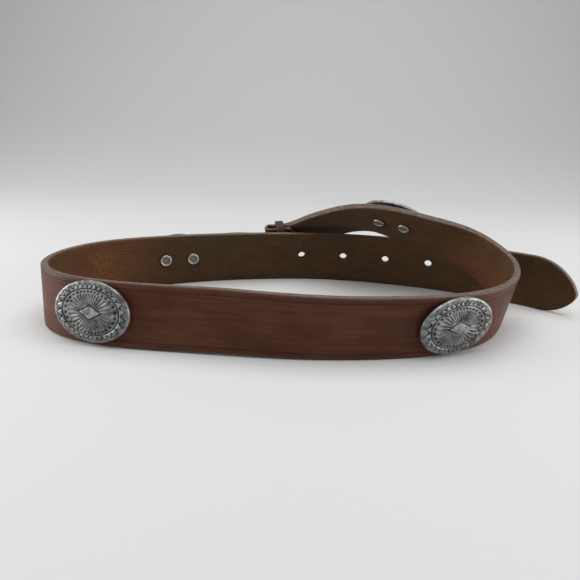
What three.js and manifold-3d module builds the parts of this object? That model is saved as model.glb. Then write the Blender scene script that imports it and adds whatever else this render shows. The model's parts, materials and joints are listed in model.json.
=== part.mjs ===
import * as THREE from 'three';
import { mergeVertices } from 'three/addons/utils/BufferGeometryUtils.js';
import Module from 'manifold-3d';

const wasm = await Module();
wasm.setup();

// Driving sizes in millimetres
const strapWidth = 38.1;
const strapThickness = 4.6;
const edgeChamfer = 0.9;
const chamferShare = 0.35;
const loopWidth = 300;
const loopDepth = 155;
const stationStep = 9;
const stepsPerRow = 40;
const twistedStep = 5;
const twistedFromShare = 0.8;
const fitGap = 0.3;
const facetGap = 0.1;
const seatSteps = 6;

const tipStart = 4.2;
const tipUpperTaper = 33;
const tipLowerTaper = 24;
const tipHeightShare = 0.42;
const tipBlunt = 0.35;
const tipRoundness = 0.66;
const tipStations = 7;
const tipCrowding = 1.6;

const holeDiameter = 5.5;
const holeSides = 16;
const holeCount = 5;
const firstHoleAt = 78.3;
const holePitch = 33;
const holeLift = 1.3;

const barShare = 0.9944;
const barDiameter = 3;
const barHalfLength = 14.5;
const barSides = 12;
const foldThickness = 2.4;
const foldWidthShare = 0.88;
const skiveLength = 28;
const narrowLength = 26;
const flapLength = 24;
const flapStations = 8;
const flapBlendShare = 0.6;
const foldSteps = 8;
const lugSlotWidth = 8;
const lugSlotMargin = 1;

const keeperLength = 9;
const keeperWall = 2;
const keeperGap = 0.35;
const keeperFromBar = 6.2;
const keeperCorner = 0.6;
const keeperCornerSteps = 3;

const plateHalfWidth = 34;
const plateHalfHeight = 18.3;
const plateExponent = 2.3;
const plateWall = 1.8;
const plateDome = 4;
const plateRim = 0.8;
const plateSegments = 32;
const plateFromBar = 31.5;
const plateStandOff = 8;
const plateTurn = 6;
const lugWidth = 5;
const lugThickness = 2.4;
const lugSeatFromBar = 11;
const pegDiameter = 3.2;
const pegLength = 6;
const pegFromCentre = 18;

const conchoLength = 48;
const conchoWidthShare = 0.953;
const conchoLift = 0.8;
const conchoSegments = 40;
const diamondLength = 12.4;
const diamondWidth = 7.4;
const diamondHeight = 4.7;
const diamondStep = 0.5;
const diamondFoot = 1.15;

const rivetHeadDiameter = 8.5;
const rivetHeadHeight = 1;
const rivetShankDiameter = 3;
const rivetSides = 16;
const boreSides = 12;
const foldRivetHeadDiameter = 6.5;
const foldRivetFromBar = 19.5;
const foldRivetSpread = 9;

// Way of the strap's middle line from the tail tip to the buckle bar:
// x and y are shares of the loop's width and depth, rise is the height of the lowest
// edge as a share of the strap's width, lean is in degrees, positive with the top outward
const way = [
  { x: 0.685, y: 0.012, rise: 0, lean: 0 },
  { x: 0.633, y: 0.116, rise: 0, lean: 0 },
  { x: 0.587, y: 0.187, rise: 0, lean: 0 },
  { x: 0.510, y: 0.271, rise: 0, lean: 0 },
  { x: 0.413, y: 0.365, rise: 0, lean: 0 },
  { x: 0.307, y: 0.419, rise: 0, lean: -2 },
  { x: 0.187, y: 0.465, rise: 0, lean: -4 },
  { x: 0.060, y: 0.474, rise: 0, lean: -6 },
  { x: -0.073, y: 0.432, rise: 0, lean: -6 },
  { x: -0.200, y: 0.371, rise: 0, lean: -6 },
  { x: -0.320, y: 0.277, rise: 0, lean: -3 },
  { x: -0.427, y: 0.171, rise: 0, lean: 0 },
  { x: -0.492, y: -0.006, rise: 0, lean: 0 },
  { x: -0.500, y: -0.200, rise: 0, lean: -1 },
  { x: -0.437, y: -0.352, rise: 0, lean: -5 },
  { x: -0.330, y: -0.419, rise: 0, lean: -8 },
  { x: -0.220, y: -0.445, rise: 0.01, lean: -5 },
  { x: -0.100, y: -0.468, rise: 0.035, lean: -2 },
  { x: 0.020, y: -0.494, rise: 0.02, lean: 2 },
  { x: 0.140, y: -0.484, rise: 0, lean: 4 },
  { x: 0.260, y: -0.452, rise: 0, lean: 5 },
  { x: 0.367, y: -0.387, rise: 0, lean: 8 },
  { x: 0.450, y: -0.258, rise: 0, lean: 11 },
  { x: 0.497, y: -0.090, rise: 0.01, lean: 12 },
  { x: 0.517, y: 0.052, rise: 0.11, lean: 4 },
  { x: 0.480, y: 0.195, rise: 0.39, lean: -21 },
  { x: 0.410, y: 0.242, rise: 0.73, lean: -39 },
  { x: 0.345, y: 0.268, rise: 0.87, lean: -44 },
  { x: 0.280, y: 0.308, rise: 0.97, lean: -43 },
  { x: 0.213, y: 0.358, rise: 1.10, lean: -52 },
  { x: 0.153, y: 0.452, rise: 1.01, lean: -59 },
  { x: 0.092, y: 0.520, rise: 0.74, lean: -52 },
  { x: 0.030, y: 0.563, rise: 0.42, lean: -47 },
  { x: -0.020, y: 0.556, rise: 0.22, lean: -27 },
  { x: -0.053, y: 0.536, rise: 0.15, lean: -12 },
];

// Conchos: place is the middle's share of the way to the bar, spacing between the two rivets
// is a share of the concho's length, turn is in degrees about the outward direction
const conchoRows = [
  { name: 'concho_1', place: 0.8922, spacing: 0.39, turn: 0 },
  { name: 'concho_2', place: 0.6999, spacing: 0.43, turn: 3 },
  { name: 'concho_3', place: 0.4878, spacing: 0.43, turn: 0 },
  { name: 'concho_4', place: 0.3133, spacing: 0.43, turn: 0 },
];

// Concho relief from the rim inward: size is a share of the outline, height in
// millimetres above the back, wave is the alternating part of the height
const relief = [
  { size: 1, height: 1.4, wave: 0 },
  { size: 0.985, height: 2.0, wave: 0 },
  { size: 0.94, height: 2.4, wave: 0 },
  { size: 0.91, height: 2.2, wave: 0.18 },
  { size: 0.78, height: 2.6, wave: -0.15 },
  { size: 0.75, height: 3.1, wave: 0 },
  { size: 0.67, height: 3.1, wave: 0 },
  { size: 0.62, height: 3.5, wave: 0.18 },
  { size: 0.42, height: 4.0, wave: 0.22 },
];

const up = new THREE.Vector3(0, 0, 1);
const fine = 1e-3;

const wayPoints = way.map((row) => [
  row.x * loopWidth,
  row.y * loopDepth,
  row.rise * strapWidth,
  THREE.MathUtils.degToRad(row.lean),
]);

function wayRow(index) {
  const last = wayPoints.length - 1;
  if (index < 0) return wayPoints[0].map((value, k) => 2 * value - wayPoints[1][k]);
  if (index > last) return wayPoints[last].map((value, k) => 2 * value - wayPoints[last - 1][k]);
  return wayPoints[index];
}

function wayValues(u) {
  const index = Math.min(Math.max(Math.floor(u), 0), wayPoints.length - 2);
  const t = u - index;
  const weights = [
    (1 - t) ** 3 / 6,
    (3 * t ** 3 - 6 * t ** 2 + 4) / 6,
    (-3 * t ** 3 + 3 * t ** 2 + 3 * t + 1) / 6,
    t ** 3 / 6,
  ];
  const rows = [-1, 0, 1, 2].map((step) => wayRow(index + step));
  return rows[0].map((_, k) => weights.reduce((sum, weight, i) => sum + weight * rows[i][k], 0));
}

function middleAt(u) {
  const [x, y, rise, lean] = wayValues(u);
  const halfHeight = (strapWidth * Math.cos(lean)) / 2 + (strapThickness * Math.abs(Math.sin(lean))) / 2;
  return new THREE.Vector3(x, y, rise + halfHeight);
}

// Section frame: along the strap, across its width and out of its outer face
function frameAt(u) {
  const origin = middleAt(u);
  const along = middleAt(u + fine).sub(middleAt(u - fine)).normalize();
  const level = along.clone().setZ(0).normalize();
  const outward = level.cross(up);
  const lean = wayValues(u)[3];
  const rough = up.clone().multiplyScalar(Math.cos(lean)).addScaledVector(outward, Math.sin(lean));
  const across = rough.addScaledVector(along, -rough.dot(along)).normalize();
  const out = along.clone().cross(across);
  return { origin, along, across, out };
}

const lengthTable = [{ u: 0, s: 0 }];
const lengthSteps = stepsPerRow * (wayPoints.length - 1);
for (let i = 1; i <= lengthSteps; i += 1) {
  const u = (i * (wayPoints.length - 1)) / lengthSteps;
  const before = lengthTable[i - 1];
  lengthTable.push({ u, s: before.s + middleAt(u).distanceTo(middleAt(before.u)) });
}

const barAt = barShare * lengthTable[lengthSteps].s;

function frameAtLength(s) {
  const next = Math.max(1, lengthTable.findIndex((entry) => entry.s >= s));
  const a = lengthTable[next - 1];
  const b = lengthTable[next];
  return frameAt(a.u + ((b.u - a.u) * (s - a.s)) / (b.s - a.s));
}

function pointIn(frame, along, across, out) {
  return frame.origin
    .clone()
    .addScaledVector(frame.along, along)
    .addScaledVector(frame.across, across)
    .addScaledVector(frame.out, out);
}

function smooth(t) {
  const x = THREE.MathUtils.clamp(t, 0, 1);
  return x * x * (3 - 2 * x);
}

function geometryFrom(points, faces) {
  const geometry = new THREE.BufferGeometry();
  geometry.setAttribute('position', new THREE.Float32BufferAttribute(points.flatMap((p) => p.toArray()), 3));
  geometry.setIndex(faces.flat());
  return geometry;
}

// Closed body through rings of equal point count
function loftRings(rings) {
  const count = rings[0].length;
  const faces = [];
  for (let i = 0; i + 1 < rings.length; i += 1) {
    for (let j = 0; j < count; j += 1) {
      const a = i * count + j;
      const b = i * count + ((j + 1) % count);
      faces.push([a, b, b + count], [a, b + count, a + count]);
    }
  }
  const last = (rings.length - 1) * count;
  for (let j = 1; j + 1 < count; j += 1) {
    faces.push([0, j + 1, j], [last, last + j, last + j + 1]);
  }
  return geometryFrom(rings.flat(), faces);
}

// Closed body through rings that shrink to a point at both ends
function loftPoles(first, rings, final) {
  const count = rings[0].length;
  const points = [first, ...rings.flat(), final];
  const faces = [];
  for (let j = 0; j < count; j += 1) {
    const next = (j + 1) % count;
    faces.push([0, 1 + next, 1 + j]);
    for (let i = 0; i + 1 < rings.length; i += 1) {
      const a = 1 + i * count + j;
      const b = 1 + i * count + next;
      faces.push([a, b, b + count], [a, b + count, a + count]);
    }
    const last = 1 + (rings.length - 1) * count;
    faces.push([points.length - 1, last + j, last + next]);
  }
  return geometryFrom(points, faces);
}

function toManifold(geometry) {
  const bare = geometry.clone();
  bare.deleteAttribute('normal');
  bare.deleteAttribute('uv');
  const merged = mergeVertices(bare, 1e-4);
  const solid = new wasm.Manifold(
    new wasm.Mesh({
      numProp: 3,
      vertProperties: new Float32Array(merged.attributes.position.array),
      triVerts: new Uint32Array(merged.index.array),
    }),
  );
  return solid;
}

function fromManifold(solid) {
  const mesh = solid.getMesh();
  const geometry = new THREE.BufferGeometry();
  geometry.setAttribute('position', new THREE.Float32BufferAttribute(mesh.vertProperties, 3));
  geometry.setIndex(Array.from(mesh.triVerts));
  return geometry;
}

// Ring of points, each placed from the cosine and sine of its angle and its number
function roundRing(sides, place) {
  return Array.from({ length: sides }, (_, j) => {
    const angle = (2 * Math.PI * j) / sides;
    return place(Math.cos(angle), Math.sin(angle), j);
  });
}

// Circle in the plane of the strap's face, at a distance out of the strap's middle
function faceCircle(frame, along, across, out, radius, sides) {
  return roundRing(sides, (cos, sin) => pointIn(frame, along + radius * cos, across + radius * sin, out));
}

function boreThrough(frame, across, reach, diameter, sides) {
  const ring = (out) => faceCircle(frame, 0, across, out, diameter / 2, sides);
  return loftRings([ring(-reach), ring(reach)]);
}

function boxIn(frame, along, halfAcross, out) {
  const ring = (across) => [
    pointIn(frame, along[0], across, out[0]),
    pointIn(frame, along[0], across, out[1]),
    pointIn(frame, along[1], across, out[1]),
    pointIn(frame, along[1], across, out[0]),
  ];
  return loftRings([ring(-halfAcross), ring(halfAcross)]);
}

// Strap section with chamfered edges, counter-clockwise as seen from the tail tip's side
function strapRing(frame, low, high, outer, thickness) {
  const chamfer = Math.min(edgeChamfer, chamferShare * thickness, chamferShare * (high - low));
  const inner = outer - thickness;
  const corners = [
    [low + chamfer, inner],
    [(low + high) / 2, inner],
    [high - chamfer, inner],
    [high, inner + chamfer],
    [high, outer - chamfer],
    [high - chamfer, outer],
    [(low + high) / 2, outer],
    [low + chamfer, outer],
    [low, outer - chamfer],
    [low, inner + chamfer],
  ];
  return corners.map(([across, out]) => pointIn(frame, 0, across, out));
}

// Share of the full width that the tail tip has reached, one side of its point
function taperReach(s, length) {
  const left = 1 - THREE.MathUtils.clamp((s - tipStart + tipBlunt) / length, 0, 1);
  return (1 - left * left) ** tipRoundness;
}

// Low edge, high edge and thickness of the strap's section
function sectionAt(s) {
  const tipLine = (tipHeightShare - 0.5) * strapWidth;
  const narrow = 1 - (1 - foldWidthShare) * smooth((s - barAt + narrowLength) / narrowLength);
  const low = tipLine - tipHeightShare * strapWidth * taperReach(s, tipLowerTaper);
  const high = tipLine + (1 - tipHeightShare) * strapWidth * taperReach(s, tipUpperTaper);
  const skive = THREE.MathUtils.clamp((s - barAt + skiveLength) / skiveLength, 0, 1);
  const thickness = strapThickness + (foldThickness - strapThickness) * skive;
  return { low: low * narrow, high: high * narrow, thickness };
}

const outerFace = strapThickness / 2;
const innerFoldRadius = barDiameter / 2 + fitGap;
const foldRadius = innerFoldRadius + foldThickness;
const barFrame = frameAtLength(barAt);
barFrame.origin = pointIn(barFrame, 0, 0, outerFace - foldRadius);

// Depth of the flap's grain face under the outer face, a distance before the bar
function flapDepth(before) {
  const main = sectionAt(barAt - before).thickness;
  const near = 2 * foldRadius;
  const far = main + fitGap + foldThickness;
  return near + (far - near) * smooth(before / (flapBlendShare * flapLength));
}

// Even stations from one length up to, and without, another
function spread(from, to, step) {
  const count = Math.round((to - from) / step);
  return Array.from({ length: count }, (_, i) => from + ((to - from) * i) / count);
}

function mainStations() {
  const tipEnd = tipStart + tipUpperTaper;
  const twistedFrom = twistedFromShare * barAt;
  const tipPlace = (share) => tipStart + tipUpperTaper * share ** tipCrowding;
  const tip = Array.from({ length: tipStations }, (_, i) => tipPlace(i / tipStations));
  const plain = spread(tipEnd, twistedFrom, stationStep);
  const twisted = spread(twistedFrom, barAt, twistedStep);
  return [...tip, ...plain, ...twisted, barAt];
}

// Rings of the strap from the tail tip to the bar, round it and back along the flap
function strapRings() {
  const rings = mainStations().map((s) => {
    const { low, high, thickness } = sectionAt(s);
    return strapRing(frameAtLength(s), low, high, outerFace, thickness);
  });
  const { low, high } = sectionAt(barAt);
  for (let i = 1; i < foldSteps; i += 1) {
    const turn = (Math.PI * i) / foldSteps;
    const along = barFrame.along.clone().applyAxisAngle(barFrame.across, turn);
    const out = barFrame.out.clone().applyAxisAngle(barFrame.across, turn);
    const frame = { origin: barFrame.origin, along, across: barFrame.across, out };
    rings.push(strapRing(frame, low, high, foldRadius, foldThickness));
  }
  for (let i = 0; i <= flapStations; i += 1) {
    const before = (flapLength * i) / flapStations;
    const section = sectionAt(barAt - before);
    const frame = frameAtLength(barAt - before);
    const back = { ...frame, out: frame.out.clone().negate() };
    rings.push(strapRing(back, section.low, section.high, flapDepth(before) - outerFace, foldThickness));
  }
  return rings;
}

// Each concho's own frame on the strap, and the places of its two rivets
const conchos = conchoRows.map((row) => {
  const frame = frameAtLength(row.place * barAt);
  const turn = THREE.MathUtils.degToRad(row.turn);
  frame.origin = pointIn(frame, 0, conchoLift, 0);
  frame.along.applyAxisAngle(frame.out, turn);
  frame.across.applyAxisAngle(frame.out, turn);
  const rivets = [-1, 1].map((side) => {
    const reach = (side * row.spacing * conchoLength) / 2;
    return { at: row.place * barAt + reach * Math.cos(turn), across: conchoLift + reach * Math.sin(turn) };
  });
  return { name: row.name, at: row.place * barAt, frame, rivets };
});

const foldRivets = [
  { name: 'fold_rivet_upper', at: barAt - foldRivetFromBar, across: foldRivetSpread },
  { name: 'fold_rivet_lower', at: barAt - foldRivetFromBar, across: -foldRivetSpread },
];

function makeStrap() {
  const bore = rivetShankDiameter + 2 * fitGap;
  const slot = [-lugSlotMargin, foldRadius + lugSlotMargin];
  const cutters = [boxIn(barFrame, slot, lugSlotWidth / 2, slot)];
  for (let i = 0; i < holeCount; i += 1) {
    const frame = frameAtLength(firstHoleAt + i * holePitch);
    cutters.push(boreThrough(frame, holeLift, strapThickness, holeDiameter, holeSides));
  }
  for (const { at, across } of conchos.flatMap((concho) => concho.rivets)) {
    cutters.push(boreThrough(frameAtLength(at), across, strapThickness, bore, boreSides));
  }
  for (const { at, across } of foldRivets) {
    cutters.push(boreThrough(frameAtLength(at), across, 2 * strapThickness, bore, boreSides));
  }
  const strap = toManifold(loftRings(strapRings()));
  return fromManifold(cutters.reduce((rest, cutter) => rest.subtract(toManifold(cutter)), strap));
}

// Keeper: a band round the strap and its flap
function makeKeeper() {
  const stations = [1, 0.5, 0].map((share) => barAt - keeperFromBar - keeperLength * share);
  const loops = stations.map((s) => {
    const frame = frameAtLength(s);
    const { low, high } = sectionAt(s);
    const depth = flapDepth(barAt - s);
    const middleOut = outerFace - depth / 2;
    const middleAcross = (high + low) / 2;
    const loop = (margin) => {
      const corner = keeperCorner + margin;
      const points = [];
      const halfOut = depth / 2 + margin;
      const halfAcross = (high - low) / 2 + margin;
      for (let quarter = 0; quarter < 4; quarter += 1) {
        const signAcross = quarter === 0 || quarter === 3 ? 1 : -1;
        const signOut = quarter < 2 ? 1 : -1;
        for (let k = 0; k <= keeperCornerSteps; k += 1) {
          const angle = (Math.PI / 2) * (quarter + k / keeperCornerSteps);
          const across = signAcross * (halfAcross - corner) + corner * Math.cos(angle);
          const out = signOut * (halfOut - corner) + corner * Math.sin(angle);
          points.push(pointIn(frame, 0, middleAcross + across, middleOut + out));
        }
        if (quarter % 2 === 0) points.push(pointIn(frame, 0, middleAcross, middleOut + signOut * halfOut));
      }
      return points;
    };
    return { inner: loop(keeperGap), outer: loop(keeperGap + keeperWall) };
  });
  const outline = [
    loops[0].outer,
    loops[1].outer,
    loops[2].outer,
    loops[2].inner,
    loops[1].inner,
    loops[0].inner,
  ];
  const count = outline[0].length;
  const faces = [];
  for (let i = 0; i < outline.length; i += 1) {
    const nextRow = (i + 1) % outline.length;
    for (let j = 0; j < count; j += 1) {
      const nextPoint = (j + 1) % count;
      const a = i * count + j;
      const b = i * count + nextPoint;
      const c = nextRow * count + nextPoint;
      const d = nextRow * count + j;
      faces.push([a, b, c], [a, c, d]);
    }
  }
  return geometryFrom(outline.flat(), faces);
}

// Buckle plate's rings from the middle of its back out to the rim and in over its face:
// size is a share of the outline, rim says how much of the rim's height is added
const plateBack = [0.45, 0.75, 0.9, 1];
const plateFace = [
  { size: 1, rim: 0 },
  { size: 0.98, rim: 1 },
  { size: 0.93, rim: 1 },
  { size: 0.9, rim: 0 },
  { size: 0.75, rim: 0 },
  { size: 0.45, rim: 0 },
];

// Buckle: domed plate with a raised rim, a bar on a lug at its back and a hooking peg
function makeBuckle() {
  const turn = THREE.MathUtils.degToRad(plateTurn);
  const turned = barFrame.along.clone().setZ(0).normalize().applyAxisAngle(up, turn);
  const across = barFrame.across.clone().addScaledVector(turned, -barFrame.across.dot(turned)).normalize();
  const out = turned.clone().cross(across);
  const lowest = plateHalfHeight * across.z + (plateWall + plateRim) * Math.max(0, -out.z);
  const origin = barFrame.origin
    .clone()
    .addScaledVector(turned, plateFromBar)
    .addScaledVector(barFrame.out, plateStandOff)
    .setZ(lowest + fitGap);
  const frame = { origin, along: turned, across, out };
  const power = 2 / plateExponent;
  const rounded = (value) => Math.sign(value) * Math.abs(value) ** power;
  const ring = (size, height) =>
    roundRing(plateSegments, (cos, sin) =>
      pointIn(frame, rounded(cos) * plateHalfWidth * size, rounded(sin) * plateHalfHeight * size, height),
    );
  const dome = (size) => plateDome * (1 - size * size);
  const plate = loftPoles(
    pointIn(frame, 0, 0, plateDome),
    [
      ...plateBack.map((size) => ring(size, dome(size))),
      ...plateFace.map((row) => ring(row.size, plateWall + dome(row.size) + row.rim * plateRim)),
    ],
    pointIn(frame, 0, 0, plateWall + plateDome),
  );

  const barRadius = barDiameter / 2;
  const barRing = (across) =>
    roundRing(barSides, (cos, sin) => pointIn(barFrame, barRadius * cos, across, barRadius * sin));
  const bar = loftRings([barRing(barHalfLength), barRing(-barHalfLength)]);

  const seatAlong = lugSeatFromBar - plateFromBar;
  const seat = pointIn(frame, seatAlong, 0, dome(Math.abs(seatAlong) / plateHalfWidth) + plateWall / 2);
  const lugWay = seat.sub(barFrame.origin);
  lugWay.addScaledVector(barFrame.across, -lugWay.dot(barFrame.across));
  const lugLength = lugWay.length();
  lugWay.normalize();
  const lugOut = lugWay.clone().cross(barFrame.across);
  const lugFrame = { origin: barFrame.origin, along: lugWay, across: barFrame.across, out: lugOut };
  const lug = boxIn(lugFrame, [0, lugLength], lugWidth / 2, [-lugThickness / 2, lugThickness / 2]);

  const pegRadius = pegDiameter / 2;
  const pegFoot = dome(pegFromCentre / plateHalfWidth) + plateWall / 2;
  const pegTop = pegFoot - plateWall / 2 - pegLength;
  const pegRing = (height, radius) => faceCircle(frame, pegFromCentre, 0, height, radius, barSides);
  const peg = loftRings([
    pegRing(pegTop, pegRadius / 2),
    pegRing(pegTop + pegRadius / 2, pegRadius),
    pegRing(pegFoot, pegRadius),
  ]);
  const solid = [bar, lug, peg].reduce((sum, piece) => sum.add(toManifold(piece)), toManifold(plate));
  return fromManifold(solid);
}

// Distance from the strap's middle to a flat seat over one of its faces, clear of the face
// under an oval of the given half sizes; side is 1 for the outer face, -1 for the inner one
function seatOver(at, across, halfLength, halfWidth, side) {
  const frame = frameAtLength(at);
  let highest = outerFace;
  for (let i = -seatSteps; i <= seatSteps; i += 1) {
    const share = i / seatSteps;
    const local = frameAtLength(at + halfLength * share);
    const half = halfWidth * Math.sqrt(1 - share ** 2);
    for (const offset of [-half, 0, half]) {
      const point = pointIn(local, 0, across + offset, side * outerFace);
      highest = Math.max(highest, side * point.sub(frame.origin).dot(frame.out));
    }
  }
  return highest + fitGap;
}

function conchoSeat(concho) {
  return seatOver(concho.at, conchoLift, conchoLength / 2, (conchoWidthShare * strapWidth) / 2, 1);
}

function makeConcho(concho) {
  const seat = conchoSeat(concho);
  const halfLength = conchoLength / 2;
  const halfWidth = (conchoWidthShare * strapWidth) / 2;
  const place = (along, across, height) => pointIn(concho.frame, along, across, seat + height);
  const diamond = (size, height) =>
    roundRing(conchoSegments, (cos, sin) => {
      const reach = size / (Math.abs(cos) / (diamondLength / 2) + Math.abs(sin) / (diamondWidth / 2));
      return place(reach * cos, reach * sin, height);
    });
  const oval = (size, height, wave) =>
    roundRing(conchoSegments, (cos, sin, j) => {
      const lift = j % 2 === 0 ? wave : -wave;
      return place(size * halfLength * cos, size * halfWidth * sin, height + lift);
    });
  const rings = [
    oval(1, 0, 0),
    ...relief.map((row) => oval(row.size, row.height, row.wave)),
    diamond(diamondFoot, diamondHeight - diamondStep),
    diamond(1, diamondHeight),
  ];
  return loftPoles(place(0, 0, 0), rings, place(0, 0, diamondHeight));
}

// Turned piece along the strap's outward direction; profile rows are radius and distance out
function turnedPiece(frame, across, profile, sides) {
  const rings = profile.map(([radius, out]) => faceCircle(frame, 0, across, out, radius, sides));
  const first = pointIn(frame, 0, across, profile[0][1]);
  const final = pointIn(frame, 0, across, profile[profile.length - 1][1]);
  return loftPoles(first, rings, final);
}

// Rivet of a concho: ring head with a recessed middle on the inner face, shank up to the concho
function makeRivet({ at, across }, shankEnd) {
  const head = rivetHeadDiameter / 2;
  const shank = rivetShankDiameter / 2;
  const headFoot = -seatOver(at, across, head, head, -1) - facetGap;
  const headTop = headFoot - rivetHeadHeight;
  const profile = [
    [0.58 * head, headTop + 0.4 * rivetHeadHeight],
    [0.66 * head, headTop],
    [0.86 * head, headTop],
    [head, headTop + 0.5 * rivetHeadHeight],
    [head, headFoot],
    [shank, headFoot],
    [shank, shankEnd],
  ];
  return turnedPiece(frameAtLength(at), across, profile, rivetSides);
}

// Rivet of the fold: domed head on the outer face, shank down to the flap's grain face
function makeFoldRivet({ at, across }) {
  const head = foldRivetHeadDiameter / 2;
  const shank = rivetShankDiameter / 2;
  const headFoot = seatOver(at, across, head, head, 1) + facetGap;
  const profile = [
    [shank, outerFace - flapDepth(barAt - at) + fitGap],
    [shank, headFoot],
    [head, headFoot],
    [head, headFoot + 0.4 * rivetHeadHeight],
    [0.7 * head, headFoot + rivetHeadHeight],
  ];
  return turnedPiece(frameAtLength(at), across, profile, boreSides);
}

const leather = { color: 0x54332a, roughness: 0.55, metalness: 0 };
const keeperLeather = { color: 0x3b2722, roughness: 0.6, metalness: 0 };
const castMetal = { color: 0x8f8d88, roughness: 0.42, metalness: 1 };
const nickel = { color: 0xb9b4aa, roughness: 0.3, metalness: 1 };

const pieces = [
  { name: 'strap', geometry: makeStrap(), look: leather },
  { name: 'buckle', geometry: makeBuckle(), look: castMetal },
  { name: 'keeper', geometry: makeKeeper(), look: keeperLeather },
];
for (const concho of conchos) {
  pieces.push({ name: concho.name, geometry: makeConcho(concho), look: castMetal });
  const { out } = concho.frame;
  const back = pointIn(concho.frame, 0, 0, conchoSeat(concho));
  concho.rivets.forEach((rivet, k) => {
    const station = frameAtLength(rivet.at);
    const toBack = back.clone().sub(pointIn(station, 0, rivet.across, 0)).dot(out) / station.out.dot(out);
    const name = `${concho.name.replace('concho', 'rivet')}${'ab'[k]}`;
    pieces.push({ name, geometry: makeRivet(rivet, toBack - 2 * fitGap), look: nickel });
  });
}
for (const rivet of foldRivets) {
  pieces.push({ name: rivet.name, geometry: makeFoldRivet(rivet), look: nickel });
}

const box = new THREE.Box3();
for (const piece of pieces) {
  piece.geometry.computeBoundingBox();
  box.union(piece.geometry.boundingBox);
}
const middle = box.getCenter(new THREE.Vector3());

const belt = new THREE.Group();
belt.name = 'concho_belt';
for (const piece of pieces) {
  piece.geometry.translate(-middle.x, -middle.y, -box.min.z);
  const flat = piece.geometry.toNonIndexed();
  flat.computeVertexNormals();
  const mesh = new THREE.Mesh(flat, new THREE.MeshStandardMaterial(piece.look));
  mesh.name = piece.name;
  belt.add(mesh);
}

export default belt;
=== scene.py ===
import json
import math

import bpy
import numpy as np
from mathutils import Matrix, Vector
from mathutils.kdtree import KDTree

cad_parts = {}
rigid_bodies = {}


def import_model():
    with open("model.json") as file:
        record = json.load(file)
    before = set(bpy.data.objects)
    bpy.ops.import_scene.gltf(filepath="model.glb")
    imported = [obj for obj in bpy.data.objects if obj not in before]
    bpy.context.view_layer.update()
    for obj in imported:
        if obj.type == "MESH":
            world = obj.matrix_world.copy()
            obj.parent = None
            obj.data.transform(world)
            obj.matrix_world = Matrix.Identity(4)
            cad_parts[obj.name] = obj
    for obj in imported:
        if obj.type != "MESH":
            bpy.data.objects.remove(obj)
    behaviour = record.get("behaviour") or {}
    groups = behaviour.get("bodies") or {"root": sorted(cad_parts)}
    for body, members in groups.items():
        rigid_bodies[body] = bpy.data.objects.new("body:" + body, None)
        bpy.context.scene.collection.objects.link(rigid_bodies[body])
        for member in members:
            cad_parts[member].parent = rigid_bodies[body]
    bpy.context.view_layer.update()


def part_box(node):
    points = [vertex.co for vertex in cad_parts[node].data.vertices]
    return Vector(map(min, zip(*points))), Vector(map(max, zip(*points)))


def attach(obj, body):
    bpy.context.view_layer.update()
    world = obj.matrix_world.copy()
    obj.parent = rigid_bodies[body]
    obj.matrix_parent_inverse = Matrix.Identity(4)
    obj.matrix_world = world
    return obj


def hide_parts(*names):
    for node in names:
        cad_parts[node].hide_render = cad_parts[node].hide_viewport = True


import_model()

print("frame loaded")

# Belt: all sizes in millimetres
belt = {
    "width": 38.1,
    "thickness": 4.6,
    "loopWidth": 300.0,
    "loopDepth": 155.0,
    "fitGap": 0.3,
    "facetGap": 0.1,
    "tipStart": 4.2,
    "tipUpperTaper": 33.0,
    "tipLowerTaper": 24.0,
    "tipHeightShare": 0.42,
    "tipBlunt": 0.35,
    "tipRoundness": 0.66,
    "barShare": 0.9944,
    "barDiameter": 3.0,
    "foldThickness": 2.4,
    "foldWidthShare": 0.88,
    "skiveLength": 28.0,
    "narrowLength": 26.0,
    "flapLength": 24.0,
    "flapRiseShare": 0.6,
    "holes": {"diameter": 5.5, "count": 5, "first": 78.3, "pitch": 33.0, "lift": 1.3, "sides": 40},
    "conchos": [  # name, place as a share of the way to the bar, rivets' spacing share, turn
        ("concho_1", 0.8922, 0.39, 0), ("concho_2", 0.6999, 0.43, 3),
        ("concho_3", 0.4878, 0.43, 0), ("concho_4", 0.3133, 0.43, 0),
    ],
    "conchoLength": 48.0,
    "conchoWidthShare": 0.953,
    "conchoLift": 0.8,
    "rivetShank": 3.0,
    "boreSides": 24,
    "foldRivetFromBar": 19.5,
    "foldRivetSpread": 9.0,
    "lugSlotWidth": 8.0,
}
belt["conchoWidth"] = belt["conchoWidthShare"] * belt["width"]

# x and y as shares of the loop, rise as a share of the width, lean in degrees
beltWay = [
    (0.685, 0.012, 0, 0), (0.633, 0.116, 0, 0), (0.587, 0.187, 0, 0), (0.51, 0.271, 0, 0),
    (0.413, 0.365, 0, 0), (0.307, 0.419, 0, -2), (0.187, 0.465, 0, -4), (0.06, 0.474, 0, -6),
    (-0.073, 0.432, 0, -6), (-0.2, 0.371, 0, -6), (-0.32, 0.277, 0, -3), (-0.427, 0.171, 0, 0),
    (-0.492, -0.006, 0, 0), (-0.5, -0.2, 0, -1), (-0.437, -0.352, 0, -5), (-0.33, -0.419, 0, -8),
    (-0.22, -0.445, 0.01, -5), (-0.1, -0.468, 0.035, -2), (0.02, -0.494, 0.02, 2), (0.14, -0.484, 0, 4),
    (0.26, -0.452, 0, 5), (0.367, -0.387, 0, 8), (0.45, -0.258, 0, 11), (0.497, -0.09, 0.01, 12),
    (0.517, 0.052, 0.11, 4), (0.48, 0.195, 0.39, -21), (0.41, 0.242, 0.73, -39),
    (0.345, 0.268, 0.87, -44), (0.28, 0.308, 0.97, -43), (0.213, 0.358, 1.1, -52),
    (0.153, 0.452, 1.01, -59), (0.092, 0.52, 0.74, -52), (0.03, 0.563, 0.42, -47),
    (-0.02, 0.556, 0.22, -27), (-0.053, 0.536, 0.15, -12),
]


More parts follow.
